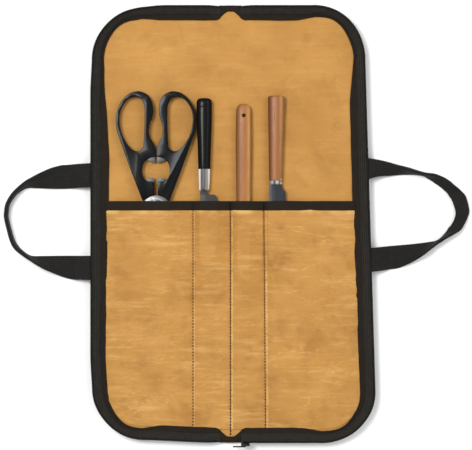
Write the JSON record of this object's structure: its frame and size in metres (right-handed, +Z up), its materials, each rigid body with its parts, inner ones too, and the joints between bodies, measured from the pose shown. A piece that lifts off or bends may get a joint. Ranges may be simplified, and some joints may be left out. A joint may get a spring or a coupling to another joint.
{
  "type": "folding zip-around tool case with tools",
  "caption": "Book-fold tool case in tan waxed canvas, open, with black zip border, webbing handles and a slotted pocket holding shears, knives and a gouge",
  "frame": {"origin": "halfway along the fold line, on the plane that the open case rests on", "axes": "+Z up out of the open case, +Y along the fold towards the tools' handles, -X the half with the shears"},
  "size_m": [0.4905, 0.4604, 0.0195],
  "materials": {
    "canvas": "waxed cotton canvas, tan, creased",
    "foam": "thin grey foam interlining, hidden",
    "binding": "black twill tape",
    "zip_tape": "black woven zip tape",
    "zip_coil": "black nylon coil",
    "thread": "black sewing thread",
    "webbing": "black cotton webbing",
    "slider_metal": "dark nickel",
    "black_plastic": "satin black",
    "blade_steel": "satin ground",
    "bright_steel": "polished",
    "pale_wood": "oiled, pale",
    "warm_wood": "oiled, warm"
  },
  "bodies": {
    "left_half": {"left_shell": "canvas", "left_interlining": "foam", "left_lining": "canvas", "left_edge_binding": "binding", "left_zip_tape": "zip_tape", "left_zip_coil": "zip_coil", "left_pocket_front": "canvas", "left_mouth_binding": "binding", "left_divider_stitching": "thread"},
    "fold_strip": {"fold_shell": "canvas", "fold_lining": "canvas", "fold_stitching": "thread", "top_end_binding": "binding", "bottom_end_binding": "binding"},
    "right_half": {"right_shell": "canvas", "right_interlining": "foam", "right_lining": "canvas", "right_edge_binding": "binding", "right_zip_tape": "zip_tape", "right_zip_coil": "zip_coil", "right_pocket_front": "canvas", "right_mouth_binding": "binding", "right_divider_stitching": "thread"},
    "left_loop": {"left_handle": "webbing"},
    "right_loop": {"right_handle": "webbing"},
    "slider": {"zip_slider": "slider_metal"},
    "pull_tab": {"zip_pull_tab": "slider_metal"},
    "shears": {"shears_inner_bow": "black_plastic", "shears_lower_blade": "blade_steel", "shears_pivot_screw": "bright_steel", "shears_pivot_washer": "bright_steel"},
    "shears_moving_half": {"shears_outer_bow": "black_plastic", "shears_upper_blade": "blade_steel"},
    "black_knife": {"black_knife_handle": "black_plastic", "black_knife_ferrule": "bright_steel", "black_knife_blade": "blade_steel"},
    "gouge": {"gouge_handle": "pale_wood", "gouge_blade": "blade_steel"},
    "wooden_knife": {"wooden_knife_handle": "warm_wood", "wooden_knife_bolster": "bright_steel", "wooden_knife_blade": "blade_steel"}
  },
  "joints": [
    {"name": "right_half_turn", "type": "hinge", "parent": "left_half", "child": "right_half", "pos_m": [0, 0, 0.016], "axis": [0, -1, 0], "range_deg": [0, 179.5]},
    {"name": "fold_strip_turn", "type": "hinge", "parent": "left_half", "child": "fold_strip", "pos_m": [0, 0, 0.016], "axis": [0, -1, 0], "range_deg": [0, 89.75]},
    {"name": "left_handle_swing", "type": "hinge", "parent": "left_half", "child": "left_loop", "pos_m": [-0.1485, 0.0031, 0.014], "axis": [0, 1, 0], "range_deg": [0, 90]},
    {"name": "right_handle_swing", "type": "hinge", "parent": "right_half", "child": "right_loop", "pos_m": [0.1515, 0.0095, 0.014], "axis": [0, -1, 0], "range_deg": [0, 90]},
    {"name": "slider_run", "type": "slide", "parent": "right_half", "child": "slider", "axis": [1, 0, 0], "range_m": [0, 0.077]},
    {"name": "pull_tab_swing", "type": "hinge", "parent": "slider", "child": "pull_tab", "pos_m": [0.0155, -0.2315, 0.0145], "axis": [0, 0, 1], "range_deg": [0, 170]},
    {"name": "shears_out", "type": "slide", "parent": "left_half", "child": "shears", "axis": [0, 1, 0], "range_m": [0, 0.062]},
    {"name": "shears_open", "type": "hinge", "parent": "shears", "child": "shears_moving_half", "pos_m": [-0.0778, 0.0176, 0.0045], "axis": [0, 0, 1], "range_deg": [0, 4]},
    {"name": "black_knife_out", "type": "slide", "parent": "left_half", "child": "black_knife", "axis": [0, 1, 0], "range_m": [0, 0.08]},
    {"name": "gouge_out", "type": "slide", "parent": "right_half", "child": "gouge", "axis": [0, 1, 0], "range_m": [0, 0.086]},
    {"name": "wooden_knife_out", "type": "slide", "parent": "right_half", "child": "wooden_knife", "axis": [0, 1, 0], "range_m": [0, 0.078]}
  ],
  "couplings": [
    {"joint": "fold_strip_turn", "follows": "right_half_turn", "ratio": 0.5}
  ]
}
